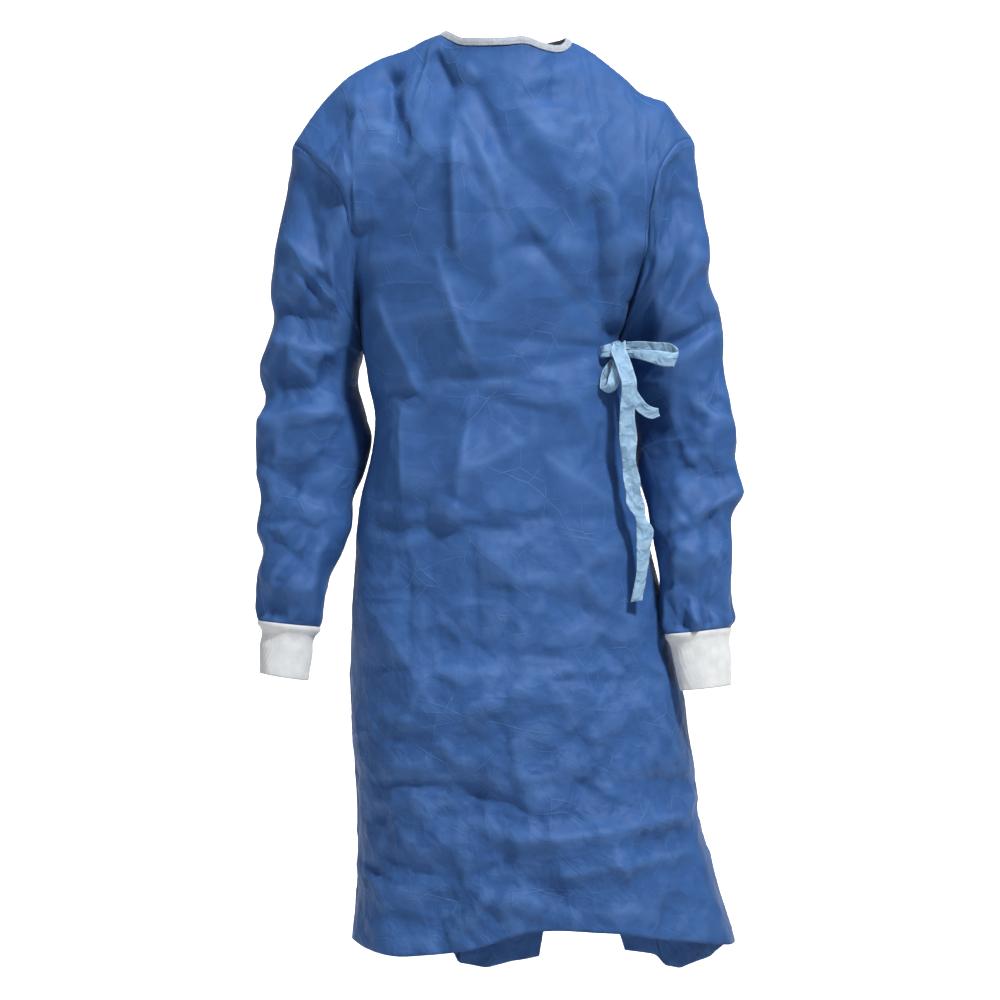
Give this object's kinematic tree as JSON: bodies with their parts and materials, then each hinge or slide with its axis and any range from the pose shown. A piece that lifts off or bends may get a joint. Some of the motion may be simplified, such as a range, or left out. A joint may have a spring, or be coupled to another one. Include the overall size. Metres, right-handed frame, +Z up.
{
  "type": "surgical gown",
  "caption": "Long-sleeved back-closing surgical gown in its worn hollow form, with round neck, knitted cuffs, overlapping back flaps and a waist tie in a bow.",
  "frame": {"origin": "point between the shoulders where the wearer bears the gown, level with the neck seam at its sides", "axes": "+Z up, -Y towards the gown's front, +X towards the wearer's left"},
  "size_m": [0.6386, 0.3558, 1.2575],
  "materials": {
    "body_cloth": "matt thin nonwoven with a faint sheen, creased",
    "cuff_knit": "matt ribbed knit",
    "binding_cloth": "matt folded strip with two rows of stitching",
    "tie_cloth": "matt soft nonwoven ribbon"
  },
  "bodies": {
    "root": {"front_panel": "body_cloth", "back_panel_left": "body_cloth", "back_panel_right": "body_cloth", "sleeve_right_arm": "body_cloth", "sleeve_left_arm": "body_cloth", "cuff_right_arm": "cuff_knit", "cuff_left_arm": "cuff_knit", "neck_binding": "binding_cloth", "nape_tape": "tie_cloth", "belt": "tie_cloth", "tie_knot": "tie_cloth", "tie_root": "tie_cloth", "tie_loop_side": "tie_cloth", "tie_loop_lower": "tie_cloth", "tie_tail_long": "tie_cloth", "tie_tail_short": "tie_cloth"}
  },
  "joints": []
}
